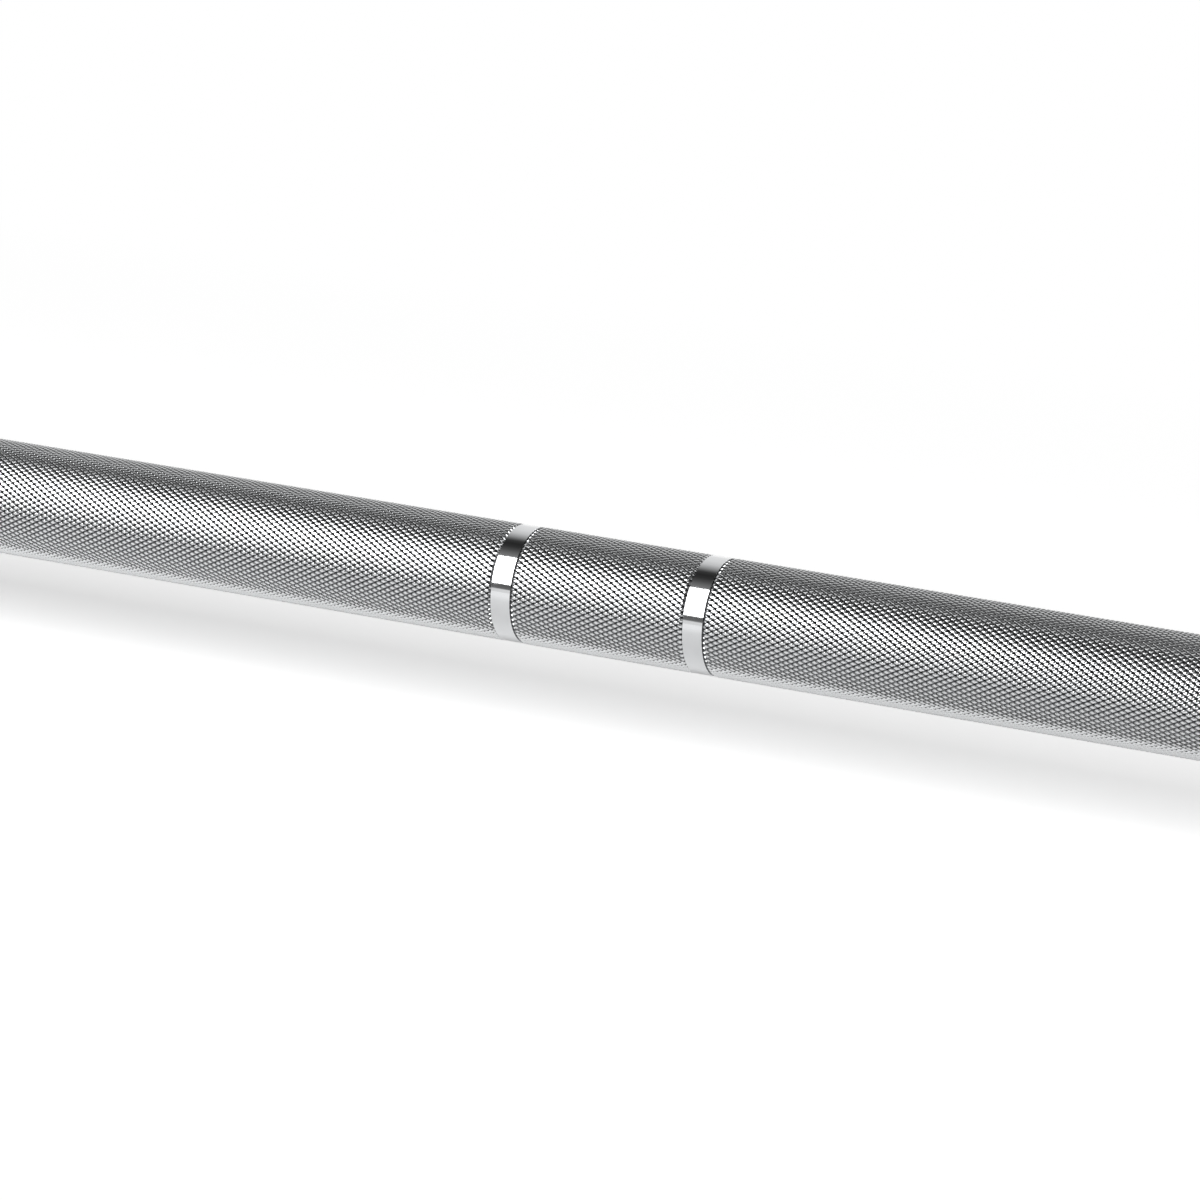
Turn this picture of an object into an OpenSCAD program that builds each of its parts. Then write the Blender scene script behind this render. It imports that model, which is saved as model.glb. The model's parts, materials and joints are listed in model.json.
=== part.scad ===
// Olympic barbell: a knurled steel shaft with a spinning sleeve on each end.
// Millimetres. X runs along the bar and Z is up. The origin is the middle of the shaft.
// Every piece of an end is drawn on the +X side, and the left end is its mirror image.

/* [Shaft] */
// Shaft length between the two collars
grip_l = 1310; // [1200:1:1400]
// Diameter of the plain, unknurled shaft
shaft_d = 28.5; // [27.5:0.1:30]
// Diameter of the turned ends that the sleeves spin on
journal_d = 25; // [23:0.1:26]
// Length of the edge bevels turned on the shaft
shaft_bevel = 0.6; // [0.3:0.1:1]
// Width of the relief groove at the foot of the shaft's shoulder
relief_w = 1.5; // [1:0.1:2.5]
// Depth of that relief groove
relief_depth = 0.3; // [0.1:0.05:0.5]
// Shaft left beyond the groove of its retaining ring
shaft_tail = 4; // [3:0.1:6]

/* [Knurl and grip marks] */
// Length of the plain stretch in the middle of the bar
plain_l = 420; // [200:1:600]
// Height of the knurl's crests over the plain shaft
knurl_rise = 0.1; // [0.05:0.01:0.3]
// Length of the slope at each end of a knurled band
knurl_fade = 1; // [0.5:0.1:2]
// Plain shaft left between the knurl and the collar
knurl_stop = 5; // [2:0.5:20]
// Distance between the inner pair of grip marks, centre to centre
mark_span = 810; // [700:1:850]
// Distance from an inner mark to the outer mark beside it
mark_step = 50; // [20:1:90]
// Width of a grip mark
mark_w = 5; // [3:0.5:8]

/* [Sleeve] */
// Length of sleeve that takes the plates
sleeve_l = 415; // [350:1:450]
// Diameter of the sleeve
sleeve_d = 50; // [49:0.1:52]
// Bevel on the sleeve's outer end
sleeve_bevel = 2; // [1:0.1:3]
// Bevel on the smaller edges of the sleeve
edge_bevel = 0.5; // [0.3:0.1:0.8]
// How much smaller in radius the sleeve is under its collar
seat_step = 0.5; // [0.3:0.1:1]
// How much smaller in radius the bore is between the two bearings
bore_step = 1.5; // [0.5:0.1:1.8]
// Empty length between the outer bushing's seat and the end cap
end_room = 22; // [18:0.5:30]

/* [Collar] */
// Diameter of the collar
collar_d = 73; // [65:0.5:80]
// Width of the collar
collar_w = 30; // [25:0.5:35]
// Bevel on the rim that faces the grip
collar_bevel = 3; // [1:0.1:5]
// Radius of the rim that faces the plates
collar_round = 1.5; // [0.5:0.1:3]

/* [Dust seal] */
// Width of the seal
seal_w = 5.5; // [4:0.1:8]
// Radial height of the seal, from the shaft to its seat
seal_h = 5.75; // [5:0.05:7]
// How far the seal sits back from the collar's face
seal_sink = 0.5; // [0.2:0.1:2]
// Width of the seal's lip on the shaft
lip_w = 0.8; // [0.5:0.1:1.2]
// Room between the seal's seat and the shaft's shoulder
shoulder_room = 2; // [1:0.1:4]

/* [Bushings] */
// Length of the bushing inside its seat
bush_l = 20; // [14:0.5:26]
// Thickness of the bushing's flange
flange_t = 2.5; // [2:0.1:4]
// How far the flange stands out beyond the bushing's body
flange_rise = 2; // [1.5:0.1:2.4]
// Width of the grease groove in the bushing's bore
grease_w = 3; // [2:0.1:5]
// Depth of the grease groove
grease_depth = 0.6; // [0.3:0.1:1]
// Gap kept for grease between a bushing and the bearing beside it
grease_gap = 5; // [2:0.5:10]

/* [Needle bearings] */
// Width of the bearing
bearing_w = 20; // [16:0.5:26]
// Thickness of the drawn cup
cup_wall = 1; // [0.8:0.1:1.4]
// Radial space between the journal and the cup's track
track_gap = 2.5; // [2:0.1:2.8]
// Radial play of a needle between the journal and the cup
needle_play = 0.02; // [0.01:0.01:0.05]
// Thickness of the cage
cage_t = 1.2; // [0.9:0.1:1.3]
// Least width of the bars between two needles
cage_bar = 1.1; // [0.9:0.1:1.6]
// Width of the ring at each end of the cage
cage_end = 1; // [0.8:0.1:1.6]
// Play around each needle in its pocket
pocket_play = 0.06; // [0.04:0.01:0.1]
// End play of the cage in its cup
cage_play = 0.4; // [0.2:0.1:0.8]

/* [Shaft retaining ring and washer] */
// Thickness of the thrust washer
washer_t = 1.5; // [1:0.1:2.5]
// Diameter of the thrust washer
washer_d = 34; // [31:0.1:35]
// Thickness of the ring that holds the sleeve on
clip_t = 1.2; // [1:0.1:1.75]
// Depth of its groove in the journal
clip_depth = 0.55; // [0.4:0.05:0.8]
// Mean radial width of the ring
clip_w = 2.4; // [2:0.1:2.8]
// Radius of the ring's two lugs
clip_lug = 2; // [1.6:0.1:2.2]

/* [End cap] */
// Diameter of the bore that the cap sits in
cap_bore_d = 40; // [39.2:0.1:41]
// Thickness of the cap's rim
cap_t = 9; // [7:0.5:12]
// How far the cap's rim lies inside the sleeve's end
cap_sink = 5; // [4:0.1:8]
// How far the cap's face stands out beyond its rim
boss_h = 3.5; // [2.5:0.1:3.8]
// Diameter of that raised face
boss_d = 27; // [24:0.5:28]
// Diameter of the hollow in the back of the cap
cap_hollow_d = 26; // [20:0.5:30]
// Depth of that hollow
cap_hollow = 5; // [3:0.1:6]
// Thickness of the ring that holds the cap in
hoop_t = 1.75; // [1.2:0.05:2]
// Depth of its groove in the sleeve
hoop_depth = 1.25; // [0.8:0.05:1.6]
// Mean radial width of the ring
hoop_w = 3; // [2.4:0.1:3.4]
// Radius of the ring's two lugs
hoop_lug = 2.3; // [2:0.1:2.5]
// Thickness of the rubber ring around the cap
o_ring_d = 2; // [1.6:0.1:2.4]

/* [Fits] */
// Radial gap between a turning piece and the shaft
run_gap = 0.05; // [0.02:0.01:0.09]
// Radial gap left where one piece is pressed into another
seat_gap = 0.02; // [0.01:0.01:0.04]
// Free movement of the sleeve along the shaft, at each thrust face
float_gap = 0.15; // [0.1:0.05:0.4]
// Gap on each side of a retaining ring in its groove
clip_gap = 0.05; // [0.03:0.01:0.1]

/* [Hidden] */
SIDE_NODES = ["sleeve", "collar", "dust_seal", "inner_bushing", "inner_bearing_cup",
    "inner_bearing_cage", "inner_bearing_needles", "outer_bearing_cup", "outer_bearing_cage",
    "outer_bearing_needles", "outer_bushing", "thrust_washer", "shaft_clip", "end_cap",
    "cap_o_ring", "cap_clip"];

// Facets drawn around large and small round pieces
fine = 96;
small = 32;
// Overshoot of a cutting solid beyond what it cuts
cut = 1;
// Segments in the rounded rim of a collar
round_steps = 6;

// Radii from the shaft outwards
shaft_r = shaft_d / 2;
knurl_r = shaft_r + knurl_rise;
journal_r = journal_d / 2;
bush_r = journal_r + run_gap;
track_r = journal_r + track_gap;
cup_r = track_r + cup_wall;
bore_r = cup_r + seat_gap;
mid_bore_r = bore_r - bore_step;
flange_r = cup_r + flange_rise;
flange_bore_r = flange_r + seat_gap;
seal_r = shaft_r + seal_h;
seal_bore_r = seal_r + seat_gap;
sleeve_r = sleeve_d / 2;
seat_r = sleeve_r - seat_step;
collar_r = collar_d / 2;
cap_bore_r = cap_bore_d / 2;
cap_r = cap_bore_r - run_gap;

// Needles and cage
needle_r = track_gap / 2 - needle_play;
pitch_r = journal_r + track_gap / 2;
needle_count = floor(2 * PI * pitch_r / (2 * needle_r + cage_bar));
cage_l = bearing_w - 2 * cup_wall - 2 * cage_play;
pocket_l = cage_l - 2 * cage_end;
needle_l = pocket_l - 2 * pocket_play;
cage_in_r = pitch_r - cage_t / 2;
cage_out_r = pitch_r + cage_t / 2;
cup_lip_r = cage_in_r - cup_wall / 4;

// Places along X, from the collar outwards
collar_in = grip_l / 2;
collar_out = collar_in + collar_w;
sleeve_out = collar_out + sleeve_l;
knurl_in = plain_l / 2;
knurl_out = collar_in - knurl_stop;
inner_mark = mark_span / 2;
outer_mark = inner_mark + mark_step;
seal_in = collar_in + seal_sink;
seal_out = seal_in + seal_w;
shoulder = seal_out + shoulder_room;
inner_flange = shoulder + float_gap;
inner_seat = inner_flange + flange_t;
inner_bearing = inner_seat + bush_l + grease_gap;
inner_stop = inner_bearing + bearing_w;

// Places along X, from the sleeve's end inwards
hoop_in = sleeve_out - cap_sink;
cap_seat = hoop_in - cap_t;
outer_seat = cap_seat - end_room;
outer_flange = outer_seat + flange_t;
outer_bearing = outer_seat - bush_l - grease_gap - bearing_w;
washer_in = outer_flange + float_gap;
clip_in = washer_in + washer_t;
clip_out = clip_in + clip_t + 2 * clip_gap;
shaft_out = clip_out + shaft_tail;

// A solid turned about the X axis, from a profile of [radius, x] points
module turned(profile) {
    rotate([0, 90, 0]) rotate_extrude($fn = fine) polygon(profile);
}

// Turns a solid drawn along Z so that it starts at x and lies along the bar
module along_bar(x) {
    translate([x, 0, 0]) rotate([0, 90, 0]) children();
}

module left() {
    mirror([1, 0, 0]) children();
}

// Points of a knurled band with a slope at each end
function band(x0, x1) = [
    [shaft_r, x0], [knurl_r, x0 + knurl_fade], [knurl_r, x1 - knurl_fade], [shaft_r, x1]
];

// Points of a quarter round from one angle to another
function quarter(r, x, radius, from, to) = [
    for (i = [0:round_steps])
        let (a = from + (to - from) * i / round_steps)
        [r + radius * sin(a), x + radius * cos(a)]
];

// Half the shaft's outline: three knurled bands, the shoulder, the journal and its groove
half_shaft = concat(
    band(knurl_in, inner_mark - mark_w / 2),
    band(inner_mark + mark_w / 2, outer_mark - mark_w / 2),
    band(outer_mark + mark_w / 2, knurl_out),
    [
        [shaft_r, shoulder - shaft_bevel],
        [shaft_r - shaft_bevel, shoulder],
        [journal_r - relief_depth, shoulder],
        [journal_r - relief_depth, shoulder + relief_w],
        [journal_r, shoulder + relief_w],
        [journal_r, clip_in],
        [journal_r - clip_depth, clip_in],
        [journal_r - clip_depth, clip_out],
        [journal_r, clip_out],
        [journal_r, shaft_out - shaft_bevel],
        [journal_r - shaft_bevel, shaft_out],
        [0, shaft_out]
    ]
);

module shaft() {
    last = len(half_shaft) - 1;
    other_half = [for (i = [last:-1:0]) [half_shaft[i][0], -half_shaft[i][1]]];
    color("gainsboro") turned(concat(other_half, half_shaft));
}

// The tube that takes the plates, bored from both ends for its bearings, seal and cap
module sleeve() {
    hoop_groove_r = cap_bore_r + hoop_depth;
    hoop_out = hoop_in + hoop_t + 2 * clip_gap;
    color("silver") turned([
        [seal_bore_r + edge_bevel, collar_in],
        [seat_r - edge_bevel, collar_in],
        [seat_r, collar_in + edge_bevel],
        [seat_r, collar_out - seat_step],
        [sleeve_r, collar_out],
        [sleeve_r, sleeve_out - sleeve_bevel],
        [sleeve_r - sleeve_bevel, sleeve_out],
        [cap_bore_r + edge_bevel, sleeve_out],
        [cap_bore_r, sleeve_out - edge_bevel],
        [cap_bore_r, hoop_out],
        [hoop_groove_r, hoop_out],
        [hoop_groove_r, hoop_in],
        [cap_bore_r, hoop_in],
        [cap_bore_r, cap_seat],
        [flange_bore_r, cap_seat],
        [flange_bore_r, outer_seat],
        [bore_r, outer_seat],
        [bore_r, outer_bearing],
        [mid_bore_r, outer_bearing],
        [mid_bore_r, inner_stop],
        [bore_r, inner_stop],
        [bore_r, inner_seat],
        [flange_bore_r, inner_seat],
        [flange_bore_r, seal_out],
        [seal_bore_r, seal_out],
        [seal_bore_r, collar_in + edge_bevel]
    ]);
}

// The stop ring that the plates rest against, pressed on up to the sloping end of its seat
module collar() {
    bore = seat_r + seat_gap;
    color("gainsboro") turned(concat(
        [
            [bore, collar_in + edge_bevel],
            [bore + edge_bevel, collar_in],
            [collar_r - collar_bevel, collar_in],
            [collar_r, collar_in + collar_bevel]
        ],
        quarter(collar_r - collar_round, collar_out - collar_round, collar_round, 90, 0),
        [
            [sleeve_r + seat_gap, collar_out],
            [bore, collar_out - seat_step]
        ]
    ));
}

// A rubber ring whose two lips wipe the shaft
module dust_seal() {
    lip_r = shaft_r + run_gap;
    waist_r = lip_r + seal_h / 3;
    color("dimgray") turned([
        [lip_r, seal_in],
        [seal_r - edge_bevel, seal_in],
        [seal_r, seal_in + edge_bevel],
        [seal_r, seal_out],
        [waist_r, seal_out],
        [lip_r, seal_out - lip_w],
        [lip_r, seal_out - 2 * lip_w],
        [waist_r, (seal_in + seal_out) / 2],
        [lip_r, seal_in + lip_w]
    ]);
}

// A flanged plain bearing whose flange lies on the -X side of x, its seat
module bushing(x) {
    mid = x + bush_l / 2;
    color("peru") turned([
        [bush_r, x - flange_t + edge_bevel],
        [bush_r + edge_bevel, x - flange_t],
        [flange_r - edge_bevel, x - flange_t],
        [flange_r, x - flange_t + edge_bevel],
        [flange_r, x],
        [cup_r, x],
        [cup_r, x + bush_l - edge_bevel],
        [cup_r - edge_bevel, x + bush_l],
        [bush_r + edge_bevel, x + bush_l],
        [bush_r, x + bush_l - edge_bevel],
        [bush_r, mid + grease_w / 2],
        [bush_r + grease_depth, mid + grease_w / 2],
        [bush_r + grease_depth, mid - grease_w / 2],
        [bush_r, mid - grease_w / 2]
    ]);
}

module inner_bushing() {
    bushing(inner_seat);
}

// The same bushing turned round, with its flange towards the sleeve's end
module outer_bushing() {
    translate([2 * outer_seat, 0, 0]) mirror([1, 0, 0]) bushing(outer_seat);
}

// Drawn steel cup, with its two edges turned in to keep the cage
module bearing_cup(x) {
    end = x + bearing_w;
    corner = cup_wall / 2;
    color("lightsteelblue") turned([
        [cup_lip_r, x],
        [cup_r - corner, x],
        [cup_r, x + corner],
        [cup_r, end - corner],
        [cup_r - corner, end],
        [cup_lip_r, end],
        [cup_lip_r, end - cup_wall],
        [track_r, end - cup_wall],
        [track_r, x + cup_wall],
        [cup_lip_r, x + cup_wall]
    ]);
}

// Copies a child to every needle's place round the journal
module each_needle() {
    for (i = [0:needle_count - 1])
        rotate([0, 0, i * 360 / needle_count]) translate([pitch_r, 0, 0]) children();
}

// A thin tube with one long pocket for each needle
module bearing_cage(x) {
    start = x + cup_wall + cage_play;
    pocket_w = 2 * (needle_r + pocket_play);
    pocket_h = cage_t + 2 * cut;
    color("darkgray") along_bar(start) difference() {
        cylinder(r = cage_out_r, h = cage_l, $fn = fine);
        translate([0, 0, -cut]) cylinder(r = cage_in_r, h = cage_l + 2 * cut, $fn = fine);
        each_needle()
            translate([-pocket_h / 2, -pocket_w / 2, cage_end]) cube([pocket_h, pocket_w, pocket_l]);
    }
}

module bearing_needles(x) {
    start = x + cup_wall + cage_play + cage_end + pocket_play;
    color("whitesmoke") along_bar(start)
        each_needle() cylinder(r = needle_r, h = needle_l, $fn = small);
}

// The flat ring that takes the sleeve's pull
module thrust_washer() {
    bore = journal_r + run_gap;
    color("tan") turned([
        [bore, washer_in],
        [washer_d / 2, washer_in],
        [washer_d / 2, washer_in + washer_t],
        [bore, washer_in + washer_t]
    ]);
}

// The mouth of a split ring, wide enough for its two lugs, on the local +X side
module ring_mouth(lug_r, reach, t) {
    translate([0, -lug_r / 2, -cut]) cube([reach, lug_r, t + 2 * cut]);
}

// Puts a child on each of a split ring's two lugs, which stand lug_r from its mouth's middle
module each_lug(lug_r, centre_r) {
    swing = asin(1.3 * lug_r / centre_r);
    for (side = [-1, 1])
        rotate([0, 0, side * swing]) translate([centre_r, 0, 0]) children();
}

// Split ring in the journal's groove: thick opposite its mouth, with a drilled lug on each tip
module shaft_clip() {
    in_r = journal_r - clip_depth + seat_gap;
    shift = clip_w / 5;
    lug_at = in_r + clip_lug;
    color("slategray") along_bar(clip_in + clip_gap) difference() {
        union() {
            translate([-shift, 0, 0]) cylinder(r = in_r + clip_w, h = clip_t, $fn = fine);
            each_lug(clip_lug, lug_at) cylinder(r = clip_lug, h = clip_t, $fn = small);
        }
        translate([0, 0, -cut]) cylinder(r = in_r, h = clip_t + 2 * cut, $fn = fine);
        ring_mouth(clip_lug, lug_at + 2 * clip_lug, clip_t);
        each_lug(clip_lug, lug_at) translate([0, 0, -cut])
            cylinder(r = clip_lug / 2, h = clip_t + 2 * cut, $fn = small);
    }
}

// Turned plug that closes the sleeve, with a raised face and a groove for its rubber ring
module end_cap() {
    groove_r = cap_bore_r - o_ring_d - 2 * seat_gap;
    groove_w = 1.2 * o_ring_d;
    groove_in = cap_seat + (cap_t - groove_w) / 2;
    boss_r = boss_d / 2;
    hollow_r = cap_hollow_d / 2;
    color("silver") turned([
        [0, cap_seat + cap_hollow],
        [hollow_r, cap_seat + cap_hollow],
        [hollow_r, cap_seat],
        [cap_r - edge_bevel, cap_seat],
        [cap_r, cap_seat + edge_bevel],
        [cap_r, groove_in],
        [groove_r, groove_in],
        [groove_r, groove_in + groove_w],
        [cap_r, groove_in + groove_w],
        [cap_r, hoop_in],
        [boss_r, hoop_in],
        [boss_r, hoop_in + boss_h - edge_bevel],
        [boss_r - edge_bevel, hoop_in + boss_h],
        [0, hoop_in + boss_h]
    ]);
}

module cap_o_ring() {
    ring_r = cap_bore_r - seat_gap - o_ring_d / 2;
    color("dimgray") along_bar(cap_seat + cap_t / 2)
        rotate_extrude($fn = fine) translate([ring_r, 0]) circle(d = o_ring_d, $fn = small);
}

// Split ring sprung out into the sleeve's groove, with its two drilled lugs turned in
module cap_clip() {
    out_r = cap_bore_r + hoop_depth - seat_gap;
    shift = hoop_w / 6;
    lug_at = out_r - hoop_w / 2 - hoop_lug;
    color("slategray") along_bar(hoop_in + clip_gap) difference() {
        cylinder(r = out_r, h = hoop_t, $fn = fine);
        difference() {
            translate([shift, 0, -cut]) cylinder(r = out_r - hoop_w, h = hoop_t + 2 * cut, $fn = fine);
            each_lug(hoop_lug, lug_at) translate([0, 0, -2 * cut])
                cylinder(r = hoop_lug, h = hoop_t + 4 * cut, $fn = small);
        }
        ring_mouth(hoop_lug, out_r + cut, hoop_t);
        each_lug(hoop_lug, lug_at) translate([0, 0, -cut])
            cylinder(r = hoop_lug / 2, h = hoop_t + 2 * cut, $fn = small);
    }
}

shaft();

left() sleeve();  // left_sleeve
left() collar();  // left_collar
left() dust_seal();  // left_dust_seal
left() inner_bushing();  // left_inner_bushing
left() bearing_cup(inner_bearing);  // left_inner_bearing_cup
left() bearing_cage(inner_bearing);  // left_inner_bearing_cage
left() bearing_needles(inner_bearing);  // left_inner_bearing_needles
left() bearing_cup(outer_bearing);  // left_outer_bearing_cup
left() bearing_cage(outer_bearing);  // left_outer_bearing_cage
left() bearing_needles(outer_bearing);  // left_outer_bearing_needles
left() outer_bushing();  // left_outer_bushing
left() thrust_washer();  // left_thrust_washer
left() shaft_clip();  // left_shaft_clip
left() end_cap();  // left_end_cap
left() cap_o_ring();  // left_cap_o_ring
left() cap_clip();  // left_cap_clip

sleeve();  // right_sleeve
collar();  // right_collar
dust_seal();  // right_dust_seal
inner_bushing();  // right_inner_bushing
bearing_cup(inner_bearing);  // right_inner_bearing_cup
bearing_cage(inner_bearing);  // right_inner_bearing_cage
bearing_needles(inner_bearing);  // right_inner_bearing_needles
bearing_cup(outer_bearing);  // right_outer_bearing_cup
bearing_cage(outer_bearing);  // right_outer_bearing_cage
bearing_needles(outer_bearing);  // right_outer_bearing_needles
outer_bushing();  // right_outer_bushing
thrust_washer();  // right_thrust_washer
shaft_clip();  // right_shaft_clip
end_cap();  // right_end_cap
cap_o_ring();  // right_cap_o_ring
cap_clip();  // right_cap_clip
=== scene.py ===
import json
import math

import bpy
import numpy as np
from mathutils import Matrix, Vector


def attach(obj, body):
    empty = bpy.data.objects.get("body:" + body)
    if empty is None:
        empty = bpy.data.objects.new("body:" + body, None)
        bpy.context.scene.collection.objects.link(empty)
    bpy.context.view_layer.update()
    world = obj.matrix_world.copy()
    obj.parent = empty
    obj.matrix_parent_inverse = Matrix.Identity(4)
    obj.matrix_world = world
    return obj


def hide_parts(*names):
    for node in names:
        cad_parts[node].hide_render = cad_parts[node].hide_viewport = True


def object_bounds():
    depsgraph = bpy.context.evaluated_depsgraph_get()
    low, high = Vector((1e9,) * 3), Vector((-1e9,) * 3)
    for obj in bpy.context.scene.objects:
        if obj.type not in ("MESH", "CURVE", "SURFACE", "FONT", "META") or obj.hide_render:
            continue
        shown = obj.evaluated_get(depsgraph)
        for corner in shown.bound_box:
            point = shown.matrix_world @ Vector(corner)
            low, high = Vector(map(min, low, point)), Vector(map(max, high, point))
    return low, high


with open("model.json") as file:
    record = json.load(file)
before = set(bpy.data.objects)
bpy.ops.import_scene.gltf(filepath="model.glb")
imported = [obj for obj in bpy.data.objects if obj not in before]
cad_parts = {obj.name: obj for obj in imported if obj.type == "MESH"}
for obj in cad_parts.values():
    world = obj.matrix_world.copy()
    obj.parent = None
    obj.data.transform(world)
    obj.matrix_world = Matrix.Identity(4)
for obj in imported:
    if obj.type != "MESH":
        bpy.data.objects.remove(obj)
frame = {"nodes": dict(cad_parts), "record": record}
cad_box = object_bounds()
nodes = frame["nodes"]
record = frame["record"]
body_of = {node: body for body, held in record["behaviour"]["bodies"].items() for node in held}
slot_of = {part["node"]: part["material_slot"] for part in record["subparts"]}

MM = 0.001

# Knurl: the grooves that run round the shaft each way, and the length of the diamonds between them
KNURL_STARTS = 65
DIAMOND_LENGTH = 2.395 * MM
# Steps of the mesh across one diamond, each way
DIAMOND_STEPS = 4
# Depth below the crests at the crossings and along the grooves, and the fall of a crown to its rim
PIT_DEPTH = 0.64 * MM
GROOVE_DEPTH = 0.50 * MM
RIM_DROP = 0.13 * MM
# Width of a crest's rounded crown as a share of its diamond
CROWN_SHARE = 0.56
# Wall of the knurled skin round the shaft's core
SKIN_WALL = 1.0 * MM
# Share of a band's flat layout that the knurled side takes; its closing faces get the strip above
KNURLED_SHARE = 0.96

# Turned pieces: divisions round them
TURN_SIDES = 288
# Size of the round on a sharp corner, and on one that meets the knurl
CORNER_ROUND = 0.2 * MM
TIGHT_ROUND = 0.01 * MM
# Steps along a round, and the least bend that makes a corner sharp
CORNER_STEPS = 4
SHARP_CORNER = math.radians(20)
# A round takes at most this share of a side
LARGEST_SHARE = 0.3
# A point that keeps the face beside a round flat stands this many times the round's size from the corner
FLAT_FROM = 1.5
# Two corners of an outline nearer than this are one
SAME_POINT = 0.002 * MM

# Floor: its width, its gap under the collars, and its shade
FLOOR_SIZE = 120.0
FLOOR_GAP = 0.02 * MM
FLOOR_GREY = 0.80
# Glow added to the lit floor, level with the softbox's middle and at GLOW_REACH along the bar from there
GLOW_NEAR = 0.16
GLOW_FAR = 0.64
GLOW_REACH = 1.65
# Share of that glow that shows in mirrors
MIRRORED_SHARE = 0.33
# Distances from the bar where the floor begins to turn white, and where it is plain white
FLOOR_LIT_TO = 0.12
FLOOR_WHITE_FROM = 0.3

# Softbox: its distance from the bar, and the height angles of its edges seen from the bar
SOFTBOX_DISTANCE = 1.6
SOFTBOX_LOW = math.radians(17)
SOFTBOX_HIGH = math.radians(71.4)
# Its length, the place of its middle along the bar, and its brightness
SOFTBOX_LENGTH = 1.4
SOFTBOX_PLACE = -0.55
SOFTBOX_RADIANCE = 5.6

# Brightness of the room above the floor, by the angle in degrees from the front over the top to the back
ROOM_LIGHT = (
    (0, 0.80), (6, 0.80), (7, 0.16), (15, 0.10), (68, 0.10), (73, 0.22),
    (80, 0.16), (88, 0.08), (96, 0.035), (104, 0.024), (112, 0.045), (116, 0.12),
    (124, 0.35), (136, 0.65), (150, 0.80), (180, 0.88),
)

# The photograph's view: a long lens, to the right of the front and above the bar
LENS = 144
SENSOR = 36
AZIMUTH = math.radians(24.2)
ELEVATION = math.radians(22.05)
DISTANCE = 1.155
# Stretch of the right half that holds the edges of both grip marks
MARKS_FROM = 0.3
MARKS_TO = 0.6
# The camera's target, from the point on the axis midway between the marks
AIM_BELOW = 0.9 * MM
AIM_INWARD = 5.1 * MM
# The nearest and the farthest that the camera sees
CLIP_NEAR = 0.05
CLIP_FAR = 200


# Outlines of turned pieces

def outline(node):
    """The corners (x, radius) of a turned node's outline in order, and whether they close in a ring."""
    mesh = nodes[node].data
    corners = []

    def corner(vertex):
        """The outline's corner that a vertex of the solid lies on."""
        x, r = vertex.co.x, math.hypot(vertex.co.y, vertex.co.z)
        for known in corners:
            if abs(known[0] - x) < SAME_POINT and abs(known[1] - r) < SAME_POINT:
                return known
        corners.append((x, r))
        return corners[-1]

    of_vertex = [corner(vertex) for vertex in mesh.vertices]
    beside = {c: set() for c in corners}
    for edge in mesh.edges:
        a, b = (of_vertex[i] for i in edge.vertices)
        if a != b:
            beside[a].add(b)
            beside[b].add(a)
    ends = [c for c in corners if len(beside[c]) == 1]
    path = [min(ends or corners)]
    while True:
        onward = [c for c in beside[path[-1]] if c not in path]
        if not onward:
            break
        path.append(min(onward))
    if ends:
        path = [(path[0][0], 0.0)] + path + [(path[-1][0], 0.0)]
    return path, not ends


def outward(path):
    """The outline in the order that makes its revolved faces look out of the solid."""
    area = sum(a[0] * b[1] - b[0] * a[1] for a, b in zip(path, path[1:] + path[:1]))
    return path[::-1] if area > 0 else path


def eased(path, closed, tight):
    """The outline with a small round on each sharp corner, and a tiny one at the places in tight."""
    points = [np.array(p) for p in path]
    count = len(points)
    result = []
    for k, p in enumerate(points):
        before, after = points[k - 1] - p, points[(k + 1) % count] - p
        before_length, after_length = np.linalg.norm(before), np.linalg.norm(after)
        bend = 0.0
        if closed or 0 < k < count - 1:
            bend = math.pi - math.acos(np.clip(before @ after / (before_length * after_length), -1, 1))
        if bend < SHARP_CORNER:
            result.append(p)
            continue
        is_tight = any(abs(p[0] - x) < SAME_POINT for x in tight)
        wanted = TIGHT_ROUND if is_tight else CORNER_ROUND
        size = min(wanted, LARGEST_SHARE * before_length, LARGEST_SHARE * after_length)
        before, after = before / before_length * size, after / after_length * size
        result.append(p + FLAT_FROM * before)
        for t in np.linspace(0, 1, CORNER_STEPS + 1):
            result.append(p + (1 - t) ** 2 * before + t ** 2 * after)
        result.append(p + FLAT_FROM * after)
    return result


SHAFT_OUTLINE, SHAFT_CLOSED = outline("shaft")
# Radius of the knurl's crests, the widest part of the shaft
CREST = max(r for x, r in SHAFT_OUTLINE)


# Meshes

def new_piece(name, node, vertices, faces, uvs, material):
    """A mesh piece with its own flat layout, in the place, body and finish of its node."""
    mesh = bpy.data.meshes.new(name)
    mesh.from_pydata(vertices, [], faces)
    mesh.polygons.foreach_set("use_smooth", [True] * len(faces))
    mesh.uv_layers.new(name="OFBake").data.foreach_set("uv", uvs)
    mesh.materials.append(material)
    mesh.update()
    piece = bpy.data.objects.new(name, mesh)
    bpy.context.scene.collection.objects.link(piece)
    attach(piece, body_of[node])
    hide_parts(node)
    return piece


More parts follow.
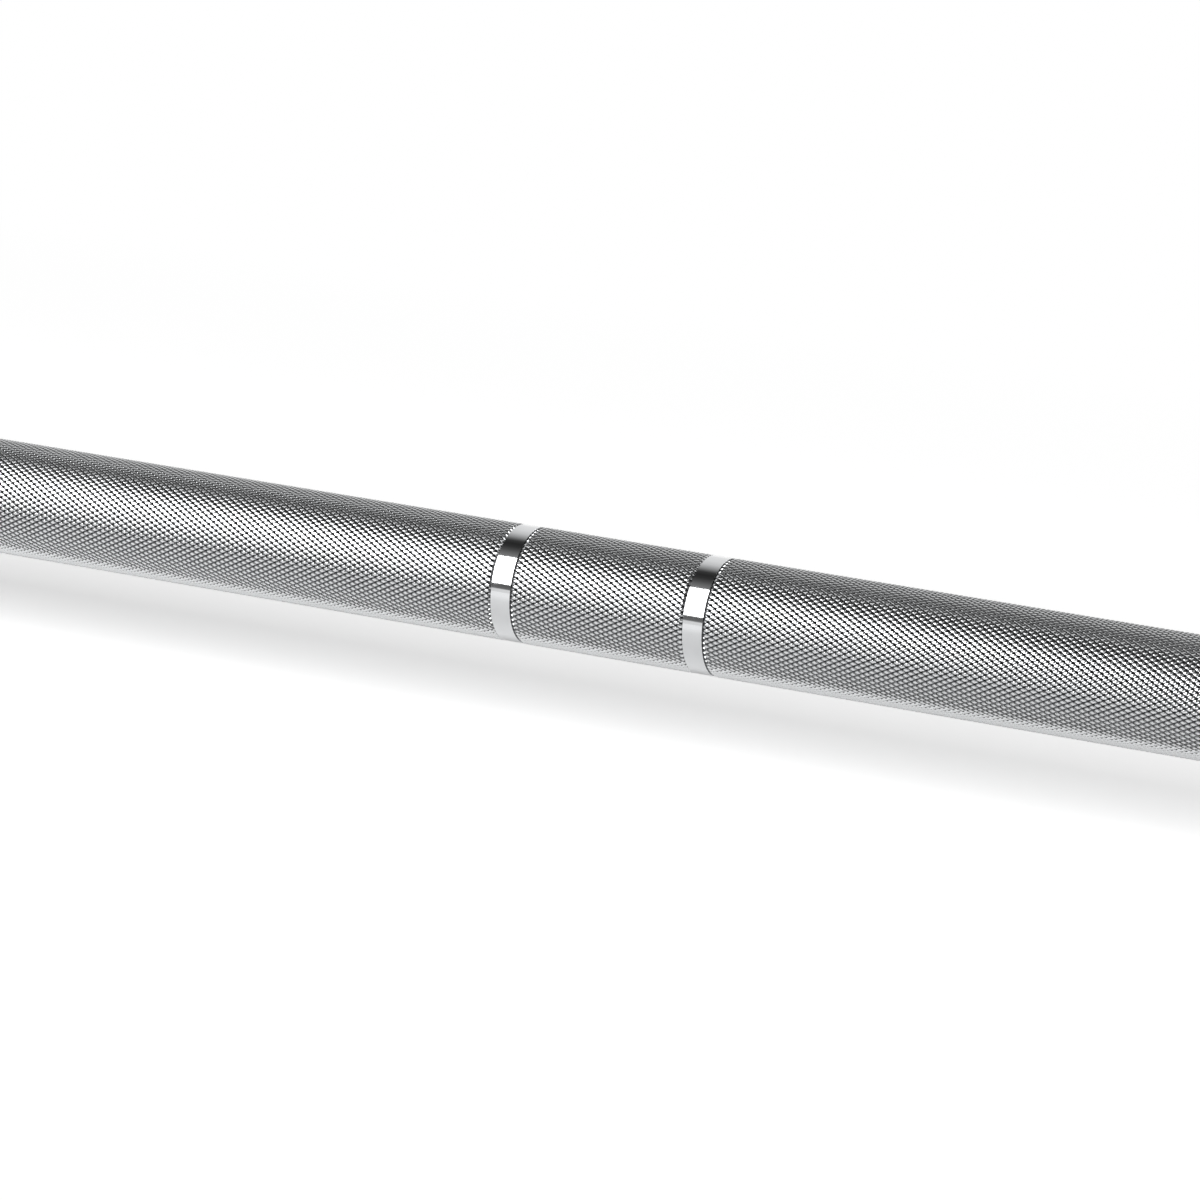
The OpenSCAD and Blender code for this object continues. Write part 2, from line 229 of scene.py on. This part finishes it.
def turned(name, node, path, closed, material, tight=()):
    """Revolves an outline round the bar's axis, with a tiny round at the places in tight."""
    path = eased(outward(path), closed, tight)
    lengths = [0.0]
    for a, b in zip(path, path[1:] + path[:1]):
        lengths.append(lengths[-1] + float(np.linalg.norm(b - a)))
    total = lengths[-1] if closed else lengths[-2]
    turns = [2 * math.pi * k / TURN_SIDES for k in range(TURN_SIDES)]
    vertices, rings = [], []
    for x, r in path:
        start = len(vertices)
        if r < SAME_POINT:
            vertices.append((x, 0.0, 0.0))
            rings.append([start] * TURN_SIDES)
        else:
            vertices += [(x, r * math.cos(a), r * math.sin(a)) for a in turns]
            rings.append(list(range(start, start + TURN_SIDES)))
    faces, uvs = [], []
    for k in range(len(path) if closed else len(path) - 1):
        near, far = rings[k], rings[(k + 1) % len(path)]
        low, high = lengths[k] / total, lengths[k + 1] / total
        for s in range(TURN_SIDES):
            n = (s + 1) % TURN_SIDES
            left, right = s / TURN_SIDES, (s + 1) / TURN_SIDES
            middle = (left + right) / 2
            # Where the outline meets the axis the faces are triangles
            if near[s] == near[n]:
                faces.append((near[s], far[n], far[s]))
                uvs += (middle, low, right, high, left, high)
            elif far[s] == far[n]:
                faces.append((near[s], near[n], far[s]))
                uvs += (left, low, right, low, middle, high)
            else:
                faces.append((near[s], near[n], far[n], far[s]))
                uvs += (left, low, right, low, right, high, left, high)
    new_piece(name, node, vertices, faces, uvs, material)


def knurl_points(x0, x1, rows, columns):
    """The points of a knurl, row by row, and which of them are crests.

    s and t count the steps across the two crossing sets of grooves. A groove runs where either is 0, and
    a pit lies where both are. A crest stands halfway both ways, and the odd steps are the rims of the
    crowns. The first and the last row lie as deep as the grooves.
    """
    half = DIAMOND_STEPS // 2
    i, j = np.meshgrid(np.arange(columns), np.arange(rows + 1))
    s, t = (i + j) % DIAMOND_STEPS, (i - j) % DIAMOND_STEPS
    is_end = (j == 0) | (j == rows)
    is_rim = (s % 2 == 1) & ~is_end
    is_crest = (s == half) & (t == half) & ~is_end
    is_pit = (s == 0) & (t == 0) & ~is_end
    radius = np.full(i.shape, CREST - GROOVE_DEPTH)
    radius[is_rim] = CREST - RIM_DROP
    radius[is_crest] = CREST
    radius[is_pit] = CREST - PIT_DEPTH
    spread = half * CROWN_SHARE - 1
    s_shift = np.where(is_rim, np.where(s == 1, -spread, spread), 0.0)
    t_shift = np.where(is_rim, np.where(t == 1, -spread, spread), 0.0)
    turn = 2 * math.pi * (i + (s_shift + t_shift) / 2) / columns
    along = x0 + (x1 - x0) * (j + (s_shift - t_shift) / 2) / rows
    points = np.stack([along, radius * np.cos(turn), radius * np.sin(turn)], -1)
    return points.reshape(-1, 3), is_crest.reshape(-1)


def knurl_faces(rows, columns):
    """The triangles of a knurl: each square is cut along a groove's floor or a crown's rim."""
    i, j = np.meshgrid(np.arange(columns), np.arange(rows))
    a = j * columns + i
    b = j * columns + (i + 1) % columns
    c, d = b + columns, a + columns
    # Whether the cut from a to c is the one that follows a groove or a rim, at even and at odd steps
    along_groove = (i - j) % DIAMOND_STEPS == 0
    along_rim = (i + j + 1) % DIAMOND_STEPS != 0
    rising = np.where((i + j) % 2 == 0, along_groove, along_rim)
    by_rising = np.stack([np.stack([a, b, c], -1), np.stack([a, c, d], -1)], -2)
    by_falling = np.stack([np.stack([a, b, d], -1), np.stack([b, c, d], -1)], -2)
    return np.where(rising[..., None, None], by_rising, by_falling).reshape(-1, 3)


def closing_faces(rows, columns):
    """The faces that close a band: the ring at its start, its inner wall, and the ring at its end."""
    here = np.arange(columns)
    beside = (here + 1) % columns
    # The first points of the last row, and of the inner wall's ring at each end
    last_row = rows * columns
    near = last_row + columns
    far = near + columns
    return np.concatenate([
        np.stack([beside, here, near + here, near + beside], -1),
        np.stack([near + beside, near + here, far + here, far + beside], -1),
        np.stack([last_row + here, last_row + beside, far + beside, far + here], -1),
    ])


def unrolled(faces, vertices, x0, x1, inner_from):
    """A band's flat layout: round it across, along it upwards, and the closing faces in a strip on top."""
    turn = np.arctan2(vertices[:, 2], vertices[:, 1]) / (2 * math.pi) % 1.0
    up = (vertices[:, 0] - x0) / (x1 - x0)
    uvs = []
    for face in faces:
        around = [turn[v] for v in face]
        # Keeps a face that crosses the seam in one piece
        if max(around) - min(around) > 0.5:
            around = [u + 1 if u < 0.5 else u for u in around]
        is_closing = max(face) >= inner_from
        for v, u in zip(face, around):
            if is_closing:
                uvs += (u, KNURLED_SHARE + up[v] * (1 - KNURLED_SHARE))
            else:
                uvs += (u, up[v] * KNURLED_SHARE)
    return uvs


def round_only(mesh, at_crest):
    """Keeps every edge sharp apart from those that meet at a crest, so that only the crowns look round."""
    ends = np.zeros(2 * len(mesh.edges), np.int32)
    mesh.edges.foreach_get("vertices", ends)
    mesh.edges.foreach_set("use_edge_sharp", ~at_crest[ends.reshape(-1, 2)].any(axis=1))


def knurled(name, x0, x1, plain, material):
    """A band of diamonds from x0 to x1, as a closed skin round the shaft's core.

    plain is the radius of the shaft beside the band.
    """
    columns = DIAMOND_STEPS * KNURL_STARTS
    rows = round(abs(x1 - x0) / DIAMOND_LENGTH * DIAMOND_STEPS)
    outer, is_crest = knurl_points(x0, x1, rows, columns)
    turn = 2 * math.pi * np.arange(columns) / columns
    wall = plain - SKIN_WALL
    y, z = wall * np.cos(turn), wall * np.sin(turn)
    inner = [np.stack([np.full(columns, x), y, z], -1) for x in (x0, x1)]
    vertices = np.concatenate([outer, *inner])
    faces = knurl_faces(rows, columns).tolist() + closing_faces(rows, columns).tolist()
    # A band that runs to the right has its faces turned over, so that they too look outwards
    if x1 > x0:
        faces = [face[::-1] for face in faces]
    uvs = unrolled(faces, vertices, x0, x1, len(outer))
    piece = new_piece(name, "shaft", vertices.tolist(), faces, uvs, material)
    round_only(piece.data, np.append(is_crest, np.zeros(2 * columns, bool)))


# Shader nodes

# Places of the colour sockets of a Mix node, which has sockets of every kind
FIRST_COLOUR = 6
SECOND_COLOUR = 7
MIXED_COLOUR = 2


def put(tree, kind, settings=None, **inputs):
    """A shader node with its settings, and each named input set to a value or joined to another node."""
    made = tree.nodes.new("ShaderNode" + kind)
    for key, value in (settings or {}).items():
        setattr(made, key, value)
    for key, value in inputs.items():
        fill(tree, made.inputs[key.replace("_", " ")], value)
    return made


def fill(tree, socket, value):
    """Joins another node's socket to this one, or gives it a plain value."""
    if isinstance(value, bpy.types.NodeSocket):
        tree.links.new(value, socket)
    else:
        socket.default_value = value


def calc(tree, operation, *terms):
    """The result of a sum on numbers or sockets."""
    made = put(tree, "Math", {"operation": operation})
    for socket, term in zip(made.inputs, terms):
        fill(tree, socket, term)
    return made.outputs[0]


def spread_over(tree, value, low, high, to_low=0.0, to_high=1.0):
    """The value moved from one range to another, and held at its ends."""
    made = put(tree, "MapRange", Value=value, From_Min=low, From_Max=high, To_Min=to_low, To_Max=to_high)
    return made.outputs["Result"]


def by_mask(tree, mask, clean, marked):
    """A number that goes from its clean value to its marked one with a mask."""
    return spread_over(tree, mask, 0.0, 1.0, clean, marked)


def mixed(tree, factor, first, second):
    """Two colours mixed by a mask."""
    made = put(tree, "Mix", {"data_type": "RGBA"}, Factor=factor)
    fill(tree, made.inputs[FIRST_COLOUR], (*first, 1))
    fill(tree, made.inputs[SECOND_COLOUR], (*second, 1))
    return made.outputs[MIXED_COLOUR]


def new_group(name, inputs, outputs):
    """An empty node group with named numbers in and out, and the sockets inside it for them."""
    group = bpy.data.node_groups.new(name, "ShaderNodeTree")
    for key, value in inputs.items():
        socket = group.interface.new_socket(key, in_out="INPUT", socket_type="NodeSocketFloat")
        socket.default_value = value
    for key in outputs:
        group.interface.new_socket(key, in_out="OUTPUT", socket_type="NodeSocketFloat")
    return group, group.nodes.new("NodeGroupInput").outputs, group.nodes.new("NodeGroupOutput").inputs


def use(tree, group, **inputs):
    """The outputs of a node group placed in a material with its own values."""
    return put(tree, "Group", {"node_tree": group}, **inputs).outputs


def along_and_out(tree):
    """A point's place along the bar and its distance from the axis."""
    place = put(tree, "TexCoord").outputs["Object"]
    x, y, z = put(tree, "SeparateXYZ", Vector=place).outputs
    squares = calc(tree, "ADD", calc(tree, "MULTIPLY", y, y), calc(tree, "MULTIPLY", z, z))
    return x, calc(tree, "SQRT", squares)


# Effects on the surfaces, as node groups, and the sizes of their fine marks

SPECK_SIZE = 0.8 * MM
SCUFF_WIDTH = 0.5 * MM


def turning_lines_group():
    """Fine lines that a tool leaves round a turned piece, on its sides and its faces."""
    tree, given, out = new_group("turning_lines", {"Width": 0.2 * MM}, ("Height",))
    x, r = along_and_out(tree)
    place = put(tree, "CombineXYZ", X=x, Y=r).outputs[0]
    scaled = put(tree, "VectorMath", {"operation": "SCALE"}, Vector=place)
    fill(tree, scaled.inputs["Scale"], calc(tree, "DIVIDE", 1.0, given["Width"]))
    lines = put(tree, "TexNoise", {"noise_dimensions": "2D"}, Vector=scaled.outputs[0], Scale=1.0,
                Detail=3.0)
    fill(tree, out["Height"], lines.outputs[0])
    return tree


def handling_marks_group():
    """Where hands, oil and dust have dulled a surface: cloudy patches, and small specks among them."""
    tree, given, out = new_group("handling_marks", {"Size": 30 * MM, "Amount": 1.0}, ("Mask", "Specks"))
    place = put(tree, "TexCoord").outputs["Object"]
    cloud = put(tree, "TexNoise", Vector=place, Detail=5.0, Roughness=0.6, Distortion=0.4)
    fill(tree, cloud.inputs["Scale"], calc(tree, "DIVIDE", 1.0, given["Size"]))
    patches = spread_over(tree, cloud.outputs[0], low=0.48, high=0.72)
    fill(tree, out["Mask"], calc(tree, "MULTIPLY", patches, given["Amount"]))
    fine = put(tree, "TexNoise", Vector=place, Scale=1 / SPECK_SIZE, Detail=2.0)
    specks = spread_over(tree, fine.outputs[0], low=0.62, high=0.74)
    fill(tree, out["Specks"], calc(tree, "MULTIPLY", specks, given["Amount"]))
    return tree


def hollows_group():
    """How deep a point lies below the crests of a knurl, from 0 on a crest to 1 in a pit."""
    tree, given, out = new_group("hollows", {"Crest": CREST, "Depth": PIT_DEPTH}, ("Mask",))
    r = along_and_out(tree)[1]
    below = calc(tree, "SUBTRACT", given["Crest"], r)
    depth = calc(tree, "DIVIDE", below, given["Depth"])
    fill(tree, out["Mask"], calc(tree, "MINIMUM", calc(tree, "MAXIMUM", depth, 0.0), 1.0))
    return tree


def plate_scuffs_group():
    """Faint scratches that plates leave along a sleeve."""
    tree, given, out = new_group("plate_scuffs", {"Length": 25 * MM, "Amount": 1.0}, ("Mask",))
    place = put(tree, "TexCoord").outputs["Object"]
    x, y, z = put(tree, "SeparateXYZ", Vector=place).outputs
    stretched = calc(tree, "DIVIDE", x, given["Length"])
    across, up = (calc(tree, "MULTIPLY", side, 1 / SCUFF_WIDTH) for side in (y, z))
    along = put(tree, "CombineXYZ", X=stretched, Y=across, Z=up).outputs[0]
    hair = put(tree, "TexNoise", Vector=along, Scale=1.0, Detail=2.0)
    marks = spread_over(tree, hair.outputs[0], low=0.64, high=0.76)
    fill(tree, out["Mask"], calc(tree, "MULTIPLY", marks, given["Amount"]))
    return tree


TURNING_LINES = turning_lines_group()
HANDLING_MARKS = handling_marks_group()
HOLLOWS = hollows_group()
PLATE_SCUFFS = plate_scuffs_group()


# Materials

CHROME_COLOUR = (0.80, 0.81, 0.82)
# Painted shade in the knurl's hollows: depths, as shares of a pit's, where it begins to darken and where
# it is darkest, and the colour of that painted shade
PAINTED_SHADE_FROM = 0.42
PAINTED_SHADE_TO = 0.80
PAINTED_SHADE_COLOUR = (0.03, 0.03, 0.032)
# Roughness that handling adds to the knurl
HANDLED_ROUGHNESS = 0.08
# How deep a plate scuff cuts beside the turning lines, and how far handling marks on rubber turn to dust
SCUFF_CUT = 0.5
DUST_SHARE = 0.5


def grey(level):
    """A shade of grey as a colour."""
    return (level, level, level, 1)


def new_material(name, **values):
    """A material with plain values in its Principled BSDF, its node tree and that shader."""
    material = bpy.data.materials.new(name)
    material.use_nodes = True
    shader = material.node_tree.nodes["Principled BSDF"]
    for key, value in values.items():
        shader.inputs[key.replace("_", " ")].default_value = value
    return material, material.node_tree, shader


def bumped(tree, shader, height, depth):
    """Gives a shader a fine relief of this depth."""
    bump = put(tree, "Bump", Height=height, Distance=depth, Strength=1.0)
    fill(tree, shader.inputs["Normal"], bump.outputs[0])


def knurl_chrome():
    """Chrome over the knurl: polished on the crests, rougher in the hollows, with painted shade that
    darkens them.
    """
    material, tree, shader = new_material("knurl_chrome", Metallic=1.0)
    deep = use(tree, HOLLOWS, Crest=CREST, Depth=PIT_DEPTH)["Mask"]
    marks = use(tree, HANDLING_MARKS, Size=22 * MM, Amount=0.6)
    # Painted shade: the base colour goes nearly black with depth towards the pits and groove floors
    shade = spread_over(tree, deep, PAINTED_SHADE_FROM, PAINTED_SHADE_TO)
    fill(tree, shader.inputs["Base Color"], mixed(tree, shade, CHROME_COLOUR, PAINTED_SHADE_COLOUR))
    rough = by_mask(tree, shade, clean=0.10, marked=0.38)
    handled = calc(tree, "MULTIPLY", marks["Mask"], HANDLED_ROUGHNESS)
    fill(tree, shader.inputs["Roughness"], calc(tree, "ADD", rough, handled))
    bumped(tree, shader, marks["Specks"], depth=0.002 * MM)
    return material


def plain_chrome():
    """Chrome on the plain shaft and its grip marks: bright, with faint lines round it."""
    material, tree, shader = new_material("plain_chrome", Metallic=1.0)
    lines = use(tree, TURNING_LINES, Width=0.25 * MM)["Height"]
    marks = use(tree, HANDLING_MARKS, Size=30 * MM, Amount=1.0)
    fill(tree, shader.inputs["Base Color"], mixed(tree, marks["Mask"], CHROME_COLOUR, (0.74, 0.75, 0.76)))
    fill(tree, shader.inputs["Roughness"], by_mask(tree, marks["Mask"], clean=0.045, marked=0.12))
    bumped(tree, shader, lines, depth=0.0004 * MM)
    return material


def sleeve_chrome():
    """Chrome over the turned sleeves and collars, with finger marks and plate scuffs."""
    material, tree, shader = new_material("sleeve_chrome", Metallic=1.0)
    lines = use(tree, TURNING_LINES, Width=0.35 * MM)["Height"]
    marks = use(tree, HANDLING_MARKS, Size=45 * MM, Amount=1.0)
    scuffs = use(tree, PLATE_SCUFFS, Length=30 * MM, Amount=0.8)["Mask"]
    worn = calc(tree, "MAXIMUM", scuffs, marks["Mask"])
    fill(tree, shader.inputs["Base Color"], mixed(tree, worn, (0.78, 0.79, 0.80), (0.68, 0.69, 0.70)))
    fill(tree, shader.inputs["Roughness"], by_mask(tree, worn, clean=0.09, marked=0.24))
    cut = calc(tree, "MULTIPLY", scuffs, SCUFF_CUT)
    bumped(tree, shader, calc(tree, "SUBTRACT", lines, cut), depth=0.0015 * MM)
    return material


def turned_metal(name, bright, dull, smooth, rough, line_width, line_depth):
    """A bare or oiled turned metal, with tool lines and cloudy marks."""
    material, tree, shader = new_material(name, Metallic=1.0)
    lines = use(tree, TURNING_LINES, Width=line_width)["Height"]
    marks = use(tree, HANDLING_MARKS, Size=12 * MM, Amount=1.0)
    streaks = calc(tree, "MAXIMUM", spread_over(tree, lines, low=0.45, high=0.75), marks["Mask"])
    fill(tree, shader.inputs["Base Color"], mixed(tree, streaks, bright, dull))
    fill(tree, shader.inputs["Roughness"], by_mask(tree, streaks, smooth, rough))
    bumped(tree, shader, lines, line_depth)
    return material


def satin_steel():
    """Turned steel of the end caps."""
    return turned_metal("satin_steel", bright=(0.70, 0.70, 0.70), dull=(0.56, 0.56, 0.57), smooth=0.24,
                        rough=0.36, line_width=0.3 * MM, line_depth=0.004 * MM)


def ground_steel():
    """Ground steel of the needle bearings."""
    return turned_metal("ground_steel", bright=(0.64, 0.65, 0.67), dull=(0.5, 0.5, 0.5), smooth=0.16,
                        rough=0.3, line_width=0.1 * MM, line_depth=0.001 * MM)


def black_steel():
    """Blackened steel of the split rings and thrust washers."""
    return turned_metal("black_steel", bright=(0.11, 0.11, 0.12), dull=(0.2, 0.19, 0.18), smooth=0.3,
                        rough=0.5, line_width=0.2 * MM, line_depth=0.002 * MM)


def oiled_bronze():
    """Sintered bronze of the bushings."""
    return turned_metal("oiled_bronze", bright=(0.68, 0.45, 0.24), dull=(0.40, 0.26, 0.14), smooth=0.28,
                        rough=0.46, line_width=0.15 * MM, line_depth=0.003 * MM)


def nitrile_rubber():
    """Black rubber with a moulded grain and a little dust."""
    material, tree, shader = new_material("nitrile_rubber")
    marks = use(tree, HANDLING_MARKS, Size=6 * MM, Amount=1.0)
    dust = calc(tree, "MULTIPLY", marks["Mask"], DUST_SHARE)
    fill(tree, shader.inputs["Base Color"], mixed(tree, dust, (0.018, 0.018, 0.019), (0.06, 0.058, 0.055)))
    fill(tree, shader.inputs["Roughness"], by_mask(tree, marks["Mask"], clean=0.45, marked=0.7))
    bumped(tree, shader, marks["Specks"], depth=0.01 * MM)
    return material


KNURL_CHROME = knurl_chrome()
PLAIN_CHROME = plain_chrome()
# The finish of each slot of the sleeve ends
FINISHES = {
    "sleeve_chrome": sleeve_chrome(),
    "cap_steel": satin_steel(),
    "bearing_steel": ground_steel(),
    "spring_steel": black_steel(),
    "bronze": oiled_bronze(),
    "rubber": nitrile_rubber(),
}


# The bar

def make_shaft():
    """A turned core, cut back under each knurled band, and the bands, three on each half."""
    at_crest = [r > CREST - SAME_POINT for x, r in SHAFT_OUTLINE]
    core, bands = [], []
    k = 0
    while k < len(SHAFT_OUTLINE):
        x, plain = SHAFT_OUTLINE[k]
        # A band takes four corners: from the plain shaft up to the crests, along them, and down again
        if at_crest[k + 1:k + 3] == [True, True]:
            end = SHAFT_OUTLINE[k + 3][0]
            core += [(x, plain), (x, plain - SKIN_WALL), (end, plain - SKIN_WALL), (end, plain)]
            bands.append((x, end, plain))
            k += 4
        else:
            core.append((x, plain))
            k += 1
    tight = [x for start, end, plain in bands for x in (start, end)]
    turned("shaft_core", "shaft", core, SHAFT_CLOSED, PLAIN_CHROME, tight)
    for side, sign in (("left", -1), ("right", 1)):
        own = [sorted((start, end), key=abs) + [plain] for start, end, plain in bands if start * sign > 0]
        own.sort(key=lambda band: abs(band[0]))
        for place, (start, end, plain) in zip(("inner", "mark", "outer"), own):
            knurled(f"{side}_{place}_knurl", start, end, plain, KNURL_CHROME)


# The pieces of a sleeve end that are turned anew, and those that keep the shape of their solids
TURNED_PIECES = ("sleeve", "collar", "dust_seal", "inner_bushing", "outer_bushing", "inner_bearing_cup",
                 "outer_bearing_cup", "thrust_washer", "end_cap", "cap_o_ring")
CUT_PIECES = ("inner_bearing_cage", "inner_bearing_needles", "outer_bearing_cage", "outer_bearing_needles",
              "shaft_clip", "cap_clip")


def make_ends():
    """The pieces of both sleeve ends: the turned ones made anew, and the cut ones painted as they are."""
    for side in ("left", "right"):
        for piece in TURNED_PIECES:
            node = f"{side}_{piece}"
            turned(f"{node}_turned", node, *outline(node), FINISHES[slot_of[node]])
        for piece in CUT_PIECES:
            node = f"{side}_{piece}"
            for slot in nodes[node].material_slots:
                slot.material = FINISHES[slot_of[node]]


# The room

def send_mix(tree, factor, first, second, output):
    """Sends a mix of two shaders to the tree's output."""
    both = put(tree, "MixShader")
    fill(tree, both.inputs[0], factor)
    fill(tree, both.inputs[1], first.outputs[0])
    fill(tree, both.inputs[2], second.outputs[0])
    fill(tree, tree.nodes[output].inputs["Surface"], both.outputs[0])


def pale_floor():
    """The floor's paint: it keeps the shadow by the bar, and turns plain white far from it."""
    material, tree, shader = new_material("pale_floor", Base_Color=grey(FLOOR_GREY), Roughness=0.7,
                                          Specular_IOR_Level=0.0)
    seen = put(tree, "LightPath").outputs
    mirrored = calc(tree, "MAXIMUM", seen["Is Glossy Ray"], seen["Is Transmission Ray"])
    shows = calc(tree, "MAXIMUM", seen["Is Camera Ray"], mirrored)
    in_mirrors = calc(tree, "MULTIPLY", mirrored, MIRRORED_SHARE)
    share = calc(tree, "MAXIMUM", seen["Is Camera Ray"], in_mirrors)
    place = put(tree, "NewGeometry").outputs["Position"]
    x, y = put(tree, "SeparateXYZ", Vector=place).outputs[:2]
    from_softbox = calc(tree, "ABSOLUTE", calc(tree, "SUBTRACT", x, SOFTBOX_PLACE))
    by_place = spread_over(tree, from_softbox, 0.0, GLOW_REACH, GLOW_NEAR, GLOW_FAR)
    glow = put(tree, "Emission", Strength=calc(tree, "MULTIPLY", share, by_place))
    lit = put(tree, "AddShader")
    fill(tree, lit.inputs[0], shader.outputs[0])
    fill(tree, lit.inputs[1], glow.outputs[0])
    white = put(tree, "Emission", Strength=shows)
    past_end = calc(tree, "MAXIMUM", calc(tree, "SUBTRACT", calc(tree, "ABSOLUTE", x), cad_box[1].x), 0.0)
    squares = calc(tree, "ADD", calc(tree, "MULTIPLY", past_end, past_end), calc(tree, "MULTIPLY", y, y))
    away = spread_over(tree, calc(tree, "SQRT", squares), FLOOR_LIT_TO, FLOOR_WHITE_FROM)
    send_mix(tree, away, lit, white, "Material Output")
    return material


def make_floor():
    """A wide floor just under the collars."""
    half = FLOOR_SIZE / 2
    z = cad_box[0].z - FLOOR_GAP
    corners = [(-half, -half, z), (half, -half, z), (half, half, z), (-half, half, z)]
    mesh = bpy.data.meshes.new("floor")
    mesh.from_pydata(corners, [], [(0, 1, 2, 3)])
    mesh.materials.append(pale_floor())
    floor = bpy.data.objects.new("floor", mesh)
    bpy.context.scene.collection.objects.link(floor)


def make_room_light():
    """The room's light: pale behind the bar, dark above it, and plain white where the camera sees it."""
    world = bpy.data.worlds.new("studio")
    world.use_nodes = True
    bpy.context.scene.world = world
    tree = world.node_tree
    direction = put(tree, "TexCoord").outputs["Generated"]
    y, z = put(tree, "SeparateXYZ", Vector=direction).outputs[1:]
    angle = calc(tree, "ARCTAN2", z, calc(tree, "MULTIPLY", y, -1.0))
    ramp = put(tree, "ValToRGB", Fac=calc(tree, "DIVIDE", angle, math.pi))
    stops = ramp.color_ramp.elements
    stops[0].color = grey(ROOM_LIGHT[0][1])
    stops[-1].color = grey(ROOM_LIGHT[-1][1])
    for degrees, level in ROOM_LIGHT[1:-1]:
        stops.new(degrees / 180).color = grey(level)
    room = tree.nodes["Background"]
    fill(tree, room.inputs["Color"], ramp.outputs[0])
    white = put(tree, "Background", Color=grey(1))
    seen = put(tree, "LightPath").outputs["Is Camera Ray"]
    send_mix(tree, seen, room, white, "World Output")


def make_softbox():
    """One long softbox in front of the bar and above it."""
    middle = (SOFTBOX_LOW + SOFTBOX_HIGH) / 2
    height = 2 * SOFTBOX_DISTANCE * math.tan((SOFTBOX_HIGH - SOFTBOX_LOW) / 2)
    light = bpy.data.lights.new("softbox", "AREA")
    light.shape = "RECTANGLE"
    light.size, light.size_y = SOFTBOX_LENGTH, height
    light.energy = SOFTBOX_RADIANCE * math.pi * SOFTBOX_LENGTH * height
    lamp = bpy.data.objects.new("softbox", light)
    bpy.context.scene.collection.objects.link(lamp)
    away = Vector((0, -math.cos(middle), math.sin(middle)))
    lamp.location = away * SOFTBOX_DISTANCE + Vector((SOFTBOX_PLACE, 0, 0))
    lamp.rotation_euler = away.to_track_quat("Z", "Y").to_euler()
    lamp.visible_camera = False


def make_camera():
    """The photograph's camera, aimed between the two grip marks of the right half."""
    camera = bpy.data.cameras.new("camera")
    camera.lens, camera.sensor_width = LENS, SENSOR
    camera.clip_start, camera.clip_end = CLIP_NEAR, CLIP_FAR
    eye = bpy.data.objects.new("camera", camera)
    bpy.context.scene.collection.objects.link(eye)
    marks = [x for x, r in SHAFT_OUTLINE if MARKS_FROM < x < MARKS_TO]
    target = Vector(((min(marks) + max(marks)) / 2 - AIM_INWARD, 0, -AIM_BELOW))
    back = Vector((math.sin(AZIMUTH) * math.cos(ELEVATION), -math.cos(AZIMUTH) * math.cos(ELEVATION),
                   math.sin(ELEVATION)))
    eye.location = target + back * DISTANCE
    eye.rotation_euler = back.to_track_quat("Z", "Y").to_euler()
    bpy.context.scene.camera = eye


make_shaft()
make_ends()
make_floor()
make_room_light()
make_softbox()
make_camera()
bpy.context.scene.view_settings.view_transform = "Standard"
